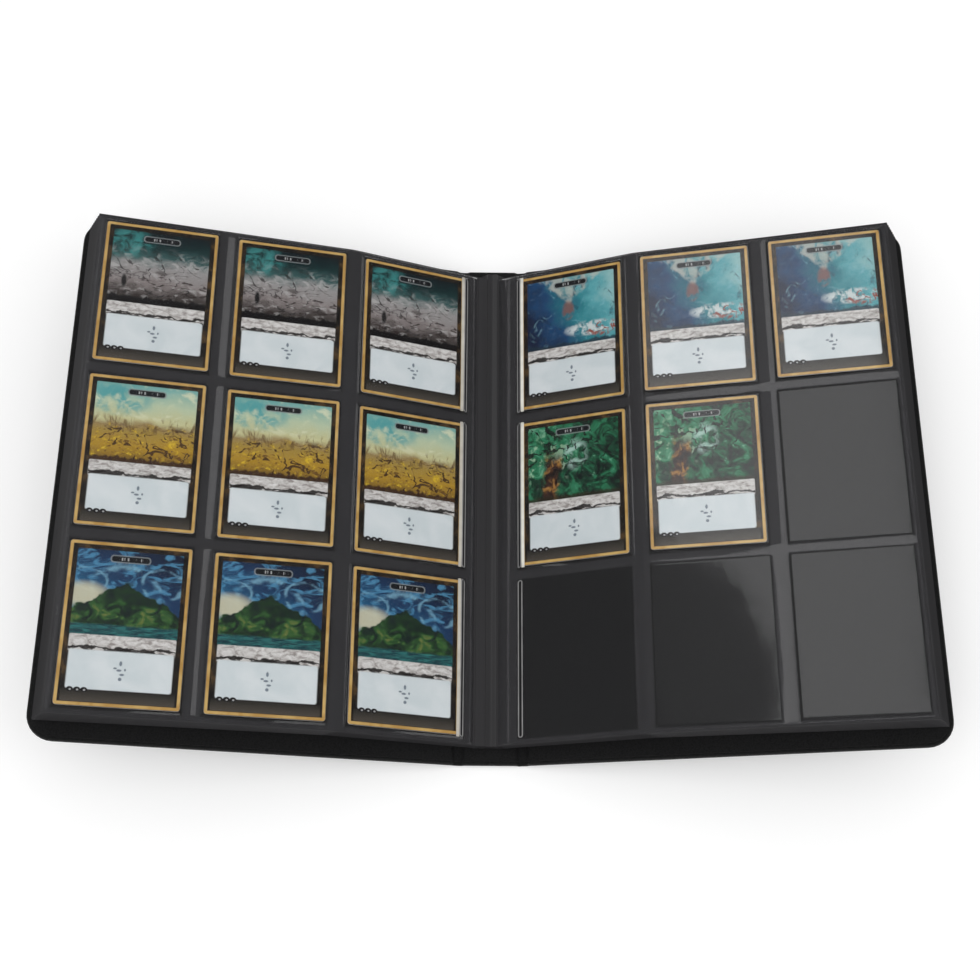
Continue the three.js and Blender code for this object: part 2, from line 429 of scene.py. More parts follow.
def score_wing(bm, fold, half, channel):
    """Cuts a wing's sheet closely at its fold and evenly elsewhere, so that it can bend."""
    score(bm, 0, [fold + channel * k / 6 for k in range(-9, 10)])
    score(bm, 0, [fold * k / 5 for k in (1, 2, 3)] + [fold + 0.02 + 0.03 * k for k in range(7)])
    score(bm, 1, [half * k / 6 for k in range(-5, 6)])


def soften_rim(bm, radius, segments, bottom=True, keep=None):
    """Rounds the edges between the plate's faces and its rim."""
    bm.normal_update()
    rim = [e for e in bm.edges if len(e.link_faces) == 2 and e.calc_face_angle(0.0) > math.radians(60)
           and abs(e.verts[0].co.z - e.verts[1].co.z) < 1e-9]
    low = min(v.co.z for v in bm.verts)
    rim = [e for e in rim if bottom or abs(e.verts[0].co.z - low) >= 1e-9]
    if keep:
        rim = [e for e in rim if keep(e)]
    bmesh.ops.bevel(bm, geom=rim, offset=radius, segments=segments, profile=0.5, affect="EDGES",
                    material=-1, clamp_overlap=True)


def beyond_start(edge):
    """Whether an edge stands clear of the sheet's start, where the two wings meet."""
    return max(v.co.x for v in edge.verts) > 1e-6


def set_in_place(bm, section, lift):
    """Moves a mesh drawn in u, y and n to its place; lift gives n from the drawn point."""
    for v in bm.verts:
        v.co = section.place(v.co.x, v.co.y, lift(v.co))
    face_out(bm, section.side)


def face_out(bm, side):
    """The left wing is drawn mirrored, so its faces are turned back."""
    if side < 0:
        bmesh.ops.reverse_faces(bm, faces=bm.faces[:])


def finish_piece(name, bm, materials, sharp=35):
    mesh = bpy.data.meshes.new(name)
    bm.to_mesh(mesh)
    bm.free()
    for material in materials:
        mesh.materials.append(material)
    mesh.shade_smooth()
    mesh.set_sharp_from_angle(angle=math.radians(sharp))
    piece = bpy.data.objects.new(name, mesh)
    bpy.context.scene.collection.objects.link(piece)
    return piece


def solidify(piece, thick, offset=-1.0):
    modifier = piece.modifiers.new("Wall", "SOLIDIFY")
    modifier.thickness = thick
    modifier.offset = offset
    return modifier


# ---------------------------------------------------------------- material work

class Recipe:
    """Builds the nodes of one material, step by step."""

    def __init__(self, name, **sockets):
        self.material = bpy.data.materials.new(name)
        self.material.use_nodes = True
        self.tree = self.material.node_tree
        self.shader = self.tree.nodes["Principled BSDF"]
        for socket, value in sockets.items():
            self.shader.inputs[socket.replace("_", " ")].default_value = value

    def add(self, kind, inputs=None, **settings):
        node = self.tree.nodes.new("ShaderNode" + kind)
        for key, value in settings.items():
            setattr(node, key, value)
        for key, value in (inputs or {}).items():
            self.plug(value, node.inputs[key])
        return node

    def plug(self, value, socket):
        if isinstance(value, bpy.types.NodeSocket):
            self.tree.links.new(value, socket)
        elif socket.type == "RGBA" and len(value) == 3:
            socket.default_value = (*value, 1.0)
        else:
            socket.default_value = value

    def out(self, name, value):
        self.plug(value, self.shader.inputs[name])

    def place(self):
        return self.add("TexCoord").outputs["Object"]

    def uv(self):
        return self.add("UVMap", uv_map="Print").outputs["UV"]

    def math(self, operation, a, b=0.0, c=0.0):
        return self.add("Math", {0: a, 1: b, 2: c}, operation=operation).outputs[0]

    def split(self, vector):
        node = self.add("SeparateXYZ", {0: vector})
        return node.outputs[0], node.outputs[1]

    def join(self, x, y, z=0.0):
        return self.add("CombineXYZ", {0: x, 1: y, 2: z}).outputs[0]

    def scaled(self, vector, scale, location=(0, 0, 0), turn=0.0):
        inputs = {"Vector": vector, "Scale": scale, "Location": location, "Rotation": (0, 0, turn)}
        return self.add("Mapping", inputs).outputs[0]

    def noise(self, vector, scale, detail=4.0, rough=0.55, distortion=0.0):
        inputs = {"Vector": vector, "Scale": scale, "Detail": detail, "Roughness": rough,
                  "Distortion": distortion}
        return self.add("TexNoise", inputs).outputs["Fac"]

    def cells(self, vector, scale, feature="F1"):
        return self.add("TexVoronoi", {"Vector": vector, "Scale": scale}, feature=feature).outputs["Distance"]

    def step(self, value, low, high, soft=True):
        kind = "SMOOTHSTEP" if soft else "LINEAR"
        node = self.add("MapRange", {0: value, 1: low, 2: high}, interpolation_type=kind)
        return node.outputs[0]

    def ramp(self, value, stops):
        node = self.add("ValToRGB", {0: value})
        ramp = node.color_ramp
        ramp.elements[0].position, ramp.elements[0].color = stops[0][0], (*stops[0][1], 1)
        ramp.elements[1].position, ramp.elements[1].color = stops[-1][0], (*stops[-1][1], 1)
        for position, shade in stops[1:-1]:
            ramp.elements.new(position).color = (*shade, 1)
        return node.outputs[0]

    def mix(self, share, a, b, blend="MIX"):
        node = self.add("Mix", {0: share, 6: a, 7: b}, data_type="RGBA", blend_type=blend)
        return node.outputs[2]

    def bump(self, height, strength, distance):
        inputs = {"Height": height, "Strength": strength, "Distance": distance}
        self.out("Normal", self.add("Bump", inputs).outputs[0])


def leather(name, shade, grain, rough):
    """Matt synthetic leather: pebbled grain in two sizes, with duller hollows."""
    made = Recipe(name, Specular_IOR_Level=0.42)
    at = made.place()
    pebbles = made.cells(at, grain, feature="SMOOTH_F1")
    fine = made.noise(at, grain * 2.6, 5.0, 0.6)
    cloud = made.noise(at, 14.0, 3.0)
    height = made.math("MULTIPLY_ADD", fine, 0.35, pebbles)
    made.bump(height, 0.55, 0.00022)
    hollow = made.step(pebbles, 0.15, 0.75)
    dark = [c * 0.72 for c in shade]
    light = [c * 1.45 for c in shade]
    made.out("Base Color", made.mix(made.math("MULTIPLY_ADD", hollow, 0.55, made.math(
        "MULTIPLY", cloud, 0.45)), light, dark))
    made.out("Roughness", made.math("MULTIPLY_ADD", hollow, 0.16, rough))
    return made.material


def page_core(name, shade, seam, welded=True):
    """Opaque core: dark under a pocket, greyer where the film is welded to it."""
    made = Recipe(name, Specular_IOR_Level=0.4, Coat_Weight=0.25, Coat_Roughness=0.12)
    at = made.place()
    lines = made.noise(made.scaled(at, (620, 7, 620)), 1.0, 2.0)
    mottle = made.noise(at, 40.0, 4.0)
    share = made.math("MULTIPLY_ADD", lines, 0.45, made.math("MULTIPLY", mottle, 0.4))
    pocket = made.mix(share, [c * 0.85 for c in shade], [c * 1.25 for c in shade])
    weld = made.mix(share, [c * 0.82 for c in seam], [c * 1.16 for c in seam])
    on_seam = 1.0
    if welded:
        on_seam = made.add("Attribute", attribute_name="weld").outputs["Fac"]
    made.out("Base Color", made.mix(on_seam, pocket, weld))
    made.out("Roughness", made.math("MULTIPLY_ADD", mottle, 0.14, 0.36))
    made.bump(made.noise(at, 120.0, 1.0), 0.04, 0.0001)
    return made.material


def clear_film(name, haze):
    """Clear film: what is under it shows through, with a gloss that grows at grazing angles."""
    made = Recipe(name)
    tree = made.tree
    at = made.place()
    facing = made.add("LayerWeight", {"Blend": 0.5}).outputs["Facing"]
    mirror = made.math("MULTIPLY_ADD", made.math("POWER", facing, 5.0), 0.9, 0.038)
    ripple = made.noise(at, 55.0, 2.0, 0.4)
    bent = made.add("Bump", {"Height": ripple, "Strength": 0.05, "Distance": 0.002}).outputs[0]
    see = made.add("BsdfTransparent", {"Color": (0.985, 0.985, 0.99)}).outputs[0]
    dull = made.add("BsdfDiffuse", {"Color": tuple(haze)}).outputs[0]
    veil = made.math("MULTIPLY_ADD", made.noise(at, 90.0, 3.0), 0.005, 0.001)
    body = made.add("MixShader", {0: veil, 1: see, 2: dull}).outputs[0]
    gloss = made.add("BsdfAnisotropic", {"Roughness": 0.07, "Normal": bent}).outputs[0]
    whole = made.add("MixShader", {0: mirror, 1: body, 2: gloss}).outputs[0]
    tree.links.new(whole, tree.nodes["Material Output"].inputs["Surface"])
    tree.nodes.remove(made.shader)
    return made.material


def cut_edge(name, dull, bright):
    """Polished cut and welded edge of the film; its glint is painted, as a pale base colour that stands for
    the light it catches.
    """
    made = Recipe(name, Roughness=0.22, Specular_IOR_Level=0.6, Coat_Weight=0.5, Coat_Roughness=0.1)
    # Painted highlight: this noise runs the base colour between a dull and a bright shade of the edge's
    # glint.
    glint_mottle = made.noise(made.place(), 160.0, 3.0)
    made.out("Base Color", made.mix(glint_mottle, dull, bright))
    return made.material


# ---------------------------------------------------------------- printed cards

class Print(Recipe):
    """Face of a card. x and y are millimetres from the lower left corner."""

    def __init__(self, name):
        super().__init__(name, Specular_IOR_Level=0.5, Coat_Weight=0.4, Coat_Roughness=0.16)
        cards = bpy.context.scene.binder_cards
        u, v = self.split(self.uv())
        self.wide, self.tall = cards.width / MM, cards.height / MM
        self.x = self.math("MULTIPLY", u, self.wide)
        self.y = self.math("MULTIPLY", v, self.tall)
        self.at = self.join(self.x, self.y)

    def waver(self, value, scale, amount, seed=0.0):
        """A value that wanders with the place on the card."""
        spot = self.scaled(self.at, (1, 1, 1), (seed, seed * 0.7, 0))
        drift = self.math("SUBTRACT", self.noise(spot, scale, 4.0), 0.5)
        return self.math("MULTIPLY_ADD", drift, amount, value)

    def inside(self, x0, x1, y0, y1, radius=0.4, soft=0.25):
        """1 inside a rounded rectangle and 0 outside."""
        across = self.off(self.x, (x0 + x1) / 2)
        along = self.off(self.y, (y0 + y1) / 2)
        dx = self.math("MAXIMUM", self.math("SUBTRACT", across, (x1 - x0) / 2 - radius), 0.0)
        dy = self.math("MAXIMUM", self.math("SUBTRACT", along, (y1 - y0) / 2 - radius), 0.0)
        far = self.math("SQRT", self.squares(dx, dy))
        return self.step(far, radius + soft, radius - soft)

    def spot(self, x0, y0, rx, ry, soft=0.3):
        """1 inside an ellipse."""
        dx = self.math("DIVIDE", self.math("SUBTRACT", self.x, x0), rx)
        dy = self.math("DIVIDE", self.math("SUBTRACT", self.y, y0), ry)
        return self.step(self.squares(dx, dy), 1 + soft, 1 - soft)

    def both(self, a, b):
        return self.math("MULTIPLY", a, b)

    def off(self, value, middle):
        """How far a value is from a middle."""
        return self.math("ABSOLUTE", self.math("SUBTRACT", value, middle))

    def squares(self, dx, dy):
        return self.math("ADD", self.both(dx, dx), self.both(dy, dy))

    def paint(self, shown, mask, share, shade):
        """Lays a colour over what is shown, where the mask is 1."""
        return self.mix(self.both(mask, share), shown, shade)


def horizon(card, base, scale, amount, seed, soft=0.8):
    """1 under a wandering skyline at a height in millimetres."""
    flat = card.join(card.x, seed * 10.0)
    drift = card.math("SUBTRACT", card.noise(flat, scale, 5.0, 0.6), 0.5)
    line = card.math("MULTIPLY_ADD", drift, amount, base)
    return card.step(card.math("SUBTRACT", line, card.y), -soft, soft)


def clouds(card, scale, low, high, seed, stretch=1.0, distortion=0.6):
    spot = card.scaled(card.at, (1, stretch, 1), (seed * 13.0, seed * 7.0, 0))
    return card.step(card.noise(spot, scale, 6.0, 0.6, distortion), low, high)


def strokes(card, scale, thick, seed):
    """Thin wandering brush lines."""
    spot = card.scaled(card.at, (1, 1, 1), (seed * 5.0, seed * 3.0, 0))
    ridge = card.noise(spot, scale, 2.0, 0.5, 1.2)
    off = card.off(ridge, 0.5)
    broken = card.math("MULTIPLY", clouds(card, 0.2, 0.42, 0.6, seed + 2), thick)
    return card.step(card.math("SUBTRACT", off, broken), 0.006, -0.004)


def slope_of(card, across, up):
    """A value that grows over the picture, 0 to 1 from its lower left corner."""
    share_x = card.step(card.x, SIDE, card.wide - SIDE, False)
    share_y = card.step(card.y, ART_LOW, ART_HIGH, False)
    return card.math("MULTIPLY_ADD", share_x, across, card.math("MULTIPLY", share_y, up))


def mist_scene(card, seed):
    """Teal sky over grey mist and dark, broken ground."""
    height = card.waver(slope_of(card, 0.0, 1.0), 0.10, 0.34, seed)
    shown = card.ramp(height, [
        (0.0, (0.022, 0.017, 0.014)), (0.16, (0.075, 0.062, 0.056)), (0.32, (0.27, 0.235, 0.225)),
        (0.52, (0.34, 0.33, 0.32)), (0.66, (0.040, 0.112, 0.108)), (0.82, (0.003, 0.034, 0.035)),
        (1.0, (0.002, 0.009, 0.015))])
    corner = card.both(card.spot(13.0, 76.0, 12.0, 9.0, 0.9), clouds(card, 0.14, 0.4, 0.62, seed + 5))
    shown = card.paint(shown, corner, 0.7, (0.05, 0.36, 0.34))
    pale = card.both(clouds(card, 0.13, 0.50, 0.66, seed, 1.5), card.step(card.y, 76.0, 66.0))
    shown = card.paint(shown, pale, 0.6, (0.52, 0.51, 0.49))
    gloom = card.both(clouds(card, 0.16, 0.52, 0.64, seed + 3, 2.6), card.step(card.y, 66.0, 54.0))
    shown = card.paint(shown, gloom, 0.9, (0.035, 0.022, 0.020))
    lines = card.both(strokes(card, 0.075, 0.02, seed + 8), card.step(card.y, 74.0, 68.0))
    shown = card.paint(shown, lines, 0.85, (0.030, 0.026, 0.026))
    ground = horizon(card, 41.5, 0.22, 8.0, seed)
    shown = card.mix(ground, shown, (0.006, 0.005, 0.005))
    trunk = card.spot(12.5, 51.0, 1.4, 4.0, 0.8)
    return card.paint(shown, trunk, 0.95, (0.004, 0.004, 0.005))


def field_scene(card, seed):
    """Pale green sky over a golden field with dark furrows."""
    height = card.waver(slope_of(card, 0.0, 1.0), 0.09, 0.22, seed)
    shown = card.ramp(height, [
        (0.0, (0.20, 0.11, 0.010)), (0.22, (0.46, 0.27, 0.012)), (0.40, (0.40, 0.27, 0.045)),
        (0.48, (0.34, 0.24, 0.09)), (0.56, (0.60, 0.58, 0.30)), (0.74, (0.52, 0.62, 0.42)),
        (1.0, (0.20, 0.46, 0.42))])
    left = card.both(card.spot(16.0, 75.0, 17.0, 9.0, 0.9), clouds(card, 0.12, 0.36, 0.6, seed + 2))
    shown = card.paint(shown, left, 0.85, (0.045, 0.36, 0.38))
    pale = card.both(clouds(card, 0.10, 0.50, 0.66, seed + 1, 1.2), card.step(card.y, 60.0, 68.0))
    shown = card.paint(shown, pale, 0.8, (0.74, 0.76, 0.52))
    low_part = card.step(card.y, 62.0, 57.0)
    gleam = card.both(clouds(card, 0.19, 0.54, 0.66, seed + 6, 1.6), low_part)
    shown = card.paint(shown, gleam, 0.85, (0.74, 0.50, 0.012))
    furrows = card.both(clouds(card, 0.15, 0.55, 0.63, seed + 4, 1.9, 1.8), low_part)
    shown = card.paint(shown, furrows, 0.8, (0.13, 0.050, 0.010))
    stalks = card.both(clouds(card, 0.24, 0.52, 0.62, seed + 9, 0.35), card.both(
        card.step(card.y, 66.0, 62.0), card.step(card.y, 54.0, 57.0)))
    shown = card.paint(shown, stalks, 0.8, (0.17, 0.10, 0.030))
    lines = card.both(strokes(card, 0.07, 0.024, seed + 3), low_part)
    shown = card.paint(shown, lines, 0.9, (0.055, 0.020, 0.010))
    return card.paint(shown, horizon(card, 40.0, 0.3, 7.0, seed), 0.9, (0.045, 0.016, 0.008))


def swirl_scene(card, seed):
    """Deep blue sky with turning clouds over a green mountain and teal water."""
    deep = card.waver(slope_of(card, 0.35, 0.65), 0.06, 0.5, seed)
    shown = card.ramp(deep, [
        (0.15, (0.030, 0.20, 0.30)), (0.40, (0.010, 0.11, 0.23)), (0.62, (0.005, 0.040, 0.12)),
        (1.0, (0.004, 0.010, 0.032))])
    high_part = card.step(card.y, 50.0, 62.0)
    haze = card.both(clouds(card, 0.075, 0.48, 0.62, seed + 6, 2.0, 1.2), high_part)
    shown = card.paint(shown, haze, 0.7, (0.085, 0.34, 0.56))
    drift = card.waver(card.x, 0.06, 9.0, seed)
    for x, y, rx, ry, thick in ((30.0, 62.0, 17.0, 13.0, 0.34), (49.0, 66.0, 11.0, 8.5, 0.26),
                                (12.0, 67.0, 9.0, 6.0, 0.30)):
        dx = card.math("DIVIDE", card.math("SUBTRACT", drift, x), rx)
        dy = card.math("DIVIDE", card.math("SUBTRACT", card.waver(card.y, 0.09, 7.0, seed + rx), y), ry)
        far = card.math("SQRT", card.squares(dx, dy))
        ring = card.step(card.off(far, 1.0), thick * 0.55, 0.0)
        torn = card.both(card.both(ring, clouds(card, 0.10, 0.40, 0.60, seed + ry, 1.6)), high_part)
        shown = card.paint(shown, torn, 0.62, (0.24, 0.52, 0.67))
    glow = card.spot(9.0, 58.5, 12.5, 6.5, 0.8)
    shown = card.paint(shown, glow, 0.85, (0.66, 0.62, 0.42))
    hill = card.math("MULTIPLY", card.off(card.x, 31.0), -0.62)
    rise = card.waver(card.math("ADD", hill, 67.0), 0.10, 13.0, seed)
    mountain = card.step(card.math("SUBTRACT", rise, card.y), -0.7, 0.7)
    cover = clouds(card, 0.13, 0.3, 0.7, seed + 2, 1.3)
    shade = card.ramp(card.both(cover, card.step(card.y, 72.0, 50.0, False)), [
        (0.0, (0.006, 0.020, 0.018)), (0.35, (0.012, 0.045, 0.016)), (0.7, (0.035, 0.13, 0.028)),
        (1.0, (0.16, 0.20, 0.040))])
    shown = card.mix(mountain, shown, shade)
    water = horizon(card, 43.0, 0.06, 2.5, seed + 1)
    ripple = card.ramp(clouds(card, 0.16, 0.35, 0.75, seed + 5, 5.0), [
        (0.0, (0.003, 0.045, 0.060)), (1.0, (0.030, 0.24, 0.22))])
    return card.mix(water, shown, ripple)


def cliff_scene(card, seed):
    """Blue mountain air with white spray over a teal sea and reddish rocks."""
    shade = card.waver(slope_of(card, 0.75, 0.25), 0.08, 0.5, seed)
    shown = card.ramp(shade, [
        (0.12, (0.003, 0.014, 0.055)), (0.30, (0.004, 0.060, 0.17)), (0.46, (0.006, 0.14, 0.21)),
        (0.60, (0.020, 0.25, 0.29)), (0.76, (0.10, 0.41, 0.45)), (1.0, (0.34, 0.58, 0.56))])
    spray = clouds(card, 0.15, 0.56, 0.68, seed + 2, 0.8, 1.6)
    shown = card.paint(shown, spray, 0.34, (0.30, 0.60, 0.68))
    dark = clouds(card, 0.13, 0.56, 0.68, seed + 5, 0.6, 1.4)
    shown = card.paint(shown, dark, 0.75, (0.005, 0.030, 0.070))
    fan = card.math("MULTIPLY", card.off(card.x, 31.0), 0.9)
    above = card.math("SUBTRACT", card.math("ADD", fan, 66.0), card.y)
    cone = card.step(card.waver(above, 0.12, 9.0, seed), 1.5, -1.5)
    snow = card.both(cone, clouds(card, 0.16, 0.36, 0.60, seed + 1, 0.6))
    shown = card.paint(shown, snow, 0.7, (0.58, 0.58, 0.50))
    heart = card.both(card.spot(30.0, 61.0, 3.6, 6.0, 0.6), clouds(card, 0.22, 0.34, 0.55, seed + 3))
    shown = card.paint(shown, heart, 0.8, (0.26, 0.10, 0.075))
    foam = card.both(card.spot(44.0, 47.0, 15.0, 4.5, 0.6), clouds(card, 0.22, 0.42, 0.56, seed + 6))
    shown = card.paint(shown, foam, 0.9, (0.70, 0.76, 0.74))
    rocks = card.both(clouds(card, 0.24, 0.48, 0.56, seed + 7), card.spot(51.0, 46.0, 10.0, 5.0, 0.5))
    shown = card.mix(rocks, shown, (0.32, 0.070, 0.045))
    shore = horizon(card, 39.6, 0.20, 7.0, seed)
    return card.paint(shown, shore, 0.9, (0.012, 0.035, 0.060))


def forest_scene(card, seed):
    """Green forest with pale flecks of light and a brown trunk low on the left."""
    leaves = card.noise(card.scaled(card.at, (1, 1, 1), (seed * 9.0, 5.0, 0)), 0.11, 6.0, 0.6, 1.2)
    tone = card.math("MULTIPLY_ADD", slope_of(card, -0.10, 0.10), 1.0, leaves)
    shown = card.ramp(tone, [
        (0.34, (0.003, 0.014, 0.010)), (0.46, (0.006, 0.065, 0.030)), (0.54, (0.012, 0.17, 0.070)),
        (0.62, (0.028, 0.25, 0.12)), (0.74, (0.17, 0.44, 0.27))])
    flecks = card.both(clouds(card, 0.20, 0.53, 0.60, seed + 3), card.spot(15.0, 62.0, 16.0, 15.0, 0.7))
    shown = card.paint(shown, flecks, 0.6, (0.46, 0.66, 0.44))
    beam = card.both(card.spot(33.0, 64.0, 6.5, 8.5, 0.8), clouds(card, 0.13, 0.42, 0.56, seed + 1))
    shown = card.paint(shown, beam, 0.8, (0.52, 0.74, 0.66))
    sparks = card.both(clouds(card, 0.34, 0.62, 0.68, seed + 6), card.spot(38.0, 58.0, 18.0, 12.0, 0.6))
    shown = card.paint(shown, sparks, 0.5, (0.30, 0.66, 0.44))
    branches = card.both(strokes(card, 0.060, 0.035, seed + 4), card.step(card.y, 52.0, 60.0))
    shown = card.paint(shown, branches, 0.95, (0.006, 0.014, 0.010))
    lean = card.math("MULTIPLY_ADD", card.math("SUBTRACT", card.y, 40.0), 0.10, 17.0)
    off = card.off(card.x, card.waver(lean, 0.12, 7.0, seed))
    trunk = card.both(card.step(off, 6.2, 3.2), card.step(card.y, 70.0, 58.0))
    bark = card.ramp(clouds(card, 0.22, 0.35, 0.68, seed + 8, 0.6), [
        (0.0, (0.012, 0.007, 0.005)), (0.5, (0.075, 0.028, 0.012)), (1.0, (0.46, 0.22, 0.035))])
    shown = card.mix(trunk, shown, bark)
    return card.paint(shown, horizon(card, 39.6, 0.25, 5.0, seed), 0.85, (0.030, 0.022, 0.008))


SCENES = {"mist": mist_scene, "field": field_scene, "swirl": swirl_scene, "cliff": cliff_scene,
          "forest": forest_scene}


def parchment(card, shown, seed):
    """Pale strip with torn dark lines between picture and text box."""
    strip = card.inside(SIDE + 0.2, card.wide - SIDE - 0.2, 28.2, 37.4, 0.8)
    grain = clouds(card, 0.26, 0.3, 0.72, seed + 9, 2.0)
    shade = card.ramp(grain, [
        (0.0, (0.32, 0.29, 0.27)), (0.4, (0.58, 0.56, 0.53)), (1.0, (0.78, 0.77, 0.74))])
    shown = card.mix(strip, shown, shade)
    for base, width, mark in ((30.6, 0.36, 0.0), (29.4, 0.16, 5.0)):
        line = card.waver(base, 0.085, 7.0, seed + mark)
        off = card.off(card.y, line)
        thick = card.math("MULTIPLY_ADD", clouds(card, 0.13, 0.40, 0.65, seed + mark), 0.9, width)
        tear = card.both(card.step(card.math("SUBTRACT", off, thick), 0.25, -0.25), strip)
        shown = card.paint(shown, tear, 0.95, (0.018, 0.014, 0.012))
    return shown


def text_box(card, shown, seed):
    """Pale panel with a small mark that stands for no sign in particular."""
    panel = card.inside(SIDE + 0.8, card.wide - SIDE - 0.8, 8.6, 29.2, 1.4, 0.5)
    shade = card.mix(clouds(card, 0.05, 0.3, 0.7, seed + 2), (0.66, 0.73, 0.74), (0.76, 0.81, 0.815))
    shown = card.mix(panel, shown, shade)
    middle = card.wide / 2
    for x, y, rx, ry in ((0.0, 4.0, 0.7, 1.3), (-2.6, 1.4, 0.9, 0.5), (2.4, 0.8, 0.5, 0.7),
                         (-0.6, 0.4, 1.3, 0.6), (1.0, -1.8, 1.2, 0.6), (0.2, -4.2, 0.9, 0.9)):
        dot = card.spot(middle + x, 19.0 + y, rx, ry, 0.6)
        shown = card.paint(shown, dot, 0.85, (0.11, 0.15, 0.20))
    return shown


def bottom_strip(card, shown):
    """Dark strip with small round marks at its left, under the text box's corner."""
    strip = card.inside(SIDE - 1.2, card.wide - SIDE + 1.2, 2.2, 8.6, 0.5)
    fade = card.step(card.y, 2.2, 8.6, False)
    shown = card.mix(strip, shown, card.mix(fade, (0.085, 0.072, 0.055), (0.022, 0.019, 0.015)))
    for x, shade in ((7.6, 0.010), (11.2, 0.004), (14.6, 0.004)):
        shown = card.mix(card.spot(x, 8.4, 1.7, 1.3, 0.25), shown, (shade, shade, shade))
        shown = card.mix(card.spot(x + 0.2, 8.2, 0.6, 0.5, 0.4), shown, (0.42, 0.42, 0.42))
    return shown


def title(card, shown):
    """Dark label with a pale outline and short pale strokes."""
    middle = card.wide / 2
    rim = card.inside(middle - 10.4, middle + 10.4, 77.0, 81.2, 1.8)
    shown = card.paint(shown, rim, 0.8, (0.26, 0.28, 0.28))
    label = card.inside(middle - 9.7, middle + 9.7, 77.6, 80.6, 1.3)
    shown = card.mix(label, shown, (0.008, 0.010, 0.013))
    stroke = card.cells(card.scaled(card.at, (0.8, 0.05, 1)), 1.0)
    ticks = card.both(card.step(stroke, 0.42, 0.25), card.inside(middle - 6.5, middle + 6.5, 78.3, 79.9, 0.3))
    return card.paint(shown, ticks, 0.8, (0.50, 0.51, 0.50))


def card_face(design, seed):
    """Printed face: gold frame, dark border, picture, torn strip, text box and bottom strip."""
    card = Print(f"card_{design}")
    look = bpy.context.scene.binder_cards
    near_x = card.math("MINIMUM", card.x, card.math("SUBTRACT", card.wide, card.x))
    near_y = card.math("MINIMUM", card.y, card.math("SUBTRACT", card.tall, card.y))
    edge = card.math("MINIMUM", near_x, near_y)
    rust = clouds(card, 0.12, 0.35, 0.7, seed, 1.0)
    border = card.ramp(rust, [
        (0.0, (0.008, 0.006, 0.004)), (0.6, (0.030, 0.018, 0.008)), (1.0, (0.10, 0.052, 0.014))])
    picture = card.inside(SIDE, card.wide - SIDE, ART_LOW, ART_HIGH, 0.6)
    shown = card.mix(picture, border, SCENES[design](card, seed))
    shown = title(card, shown)
    shown = parchment(card, shown, seed)
    shown = text_box(card, shown, seed)
    shown = bottom_strip(card, shown)
    # Painted highlight: the lighter gold that this noise mixes in stands for the frame's gleam, besides the
    # frame's uneven tone.
    frame_tone_and_highlight = clouds(card, 0.06, 0.3, 0.72, seed + 1)
    gold = card.mix(frame_tone_and_highlight, tuple(look.gold), (0.70, 0.48, 0.17))
    frame_on = card.both(card.step(edge, 0.20, 0.40), card.step(edge, 2.10, 1.70))
    shown = card.mix(frame_on, shown, gold)
    card.out("Base Color", shown)
    card.out("Roughness", card.math("MULTIPLY_ADD", frame_on, -0.12, 0.36))
    return card.material


def card_stock():
    """Cut edge of a card."""
    made = Recipe("card_stock", Roughness=0.62)
    fibre = made.noise(made.place(), 900.0, 3.0)
    stock = bpy.context.scene.binder_cards.stock
    made.out("Base Color", made.mix(fibre, tuple(c * 0.8 for c in stock), tuple(stock)))
    return made.material


def card_back():
    """Back of a card: a blue field inside a pale border, with a plain diamond."""
    card = Print("card_back")
    weave = card.cells(card.at, 0.45)
    blue = card.ramp(weave, [(0.0, (0.03, 0.06, 0.16)), (0.7, (0.012, 0.025, 0.08))])
    shown = card.mix(card.inside(3, card.wide - 3, 3, card.tall - 3, 2.0), (0.62, 0.58, 0.48), blue)
    across = card.off(card.x, card.wide / 2)
    along = card.off(card.y, card.tall / 2)
    reach = card.math("MULTIPLY_ADD", along, 0.7, across)
    ring = card.both(card.step(reach, 15.4, 14.8), card.step(reach, 12.2, 12.8))
    card.out("Base Color", card.mix(ring, shown, (0.55, 0.42, 0.16)))
    card.out("Roughness", card.step(weave, -2.0, 3.0))
    return card.material


# ---------------------------------------------------------------- operators

class BINDER_OT_cover_skins(bpy.types.Operator):
    """Wraps each half of the cover in one piece of leather, turned in over the boards"""
    bl_idname = "binder.cover_skins"
    bl_label = "Cover skins"

    def execute(self, context):
        look = context.scene.binder_cover
        skin = leather("cover_leather", look.leather, 900.0, 0.5)
        for wing in WINGS:
            self.wrap(wing, look, skin)
        return {"FINISHED"}

    def wrap(self, wing, look, skin):
        section = cover_section(wing)
        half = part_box(f"{wing}_cover_skin")[1].y
        bm = bmesh.new()
        outline(bm, 0.0, cover_length(wing), half, look.corner)
        thicken(bm, look.case)
        soften_rim(bm, look.rim, 5, keep=beyond_start)
        top = [f for f in bm.faces if f.calc_center_median().z > look.case - 1e-7 and f.normal.z > 0.9]
        bmesh.ops.inset_region(bm, faces=top, thickness=look.lip, depth=0.0, use_even_offset=True)
        inner = [f for f in bm.faces if f.normal.z > 0.9 and len(f.verts) > 3
                 and f.calc_area() > 0.5 * cover_length(wing) * half]
        middle = [f for f in bm.faces if all(abs(v.co.x) < 1e-7 for v in f.verts)]
        bmesh.ops.delete(bm, geom=inner + middle, context="FACES")
        fold = section.turn_at
        score_wing(bm, fold, half, look.channel)
        set_in_place(bm, section, lambda p: self.dip(p, fold, look))
        piece = finish_piece(f"{wing}_cover_wrap", bm, [skin])
        solidify(piece, look.skin)
        start, end = section.ends()
        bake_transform(piece)
        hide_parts(f"{wing}_cover_skin", "spine_skin")

    def dip(self, point, fold, look):
        """The skin sinks between the boards, from both sides."""
        depth = fold_depth(point.x, fold, look)
        bottom = -UNDER + 0.10 * MM * depth
        top = look.case - UNDER - fold_drop(look) * depth
        return bottom + (top - bottom) * (point.z / look.case)


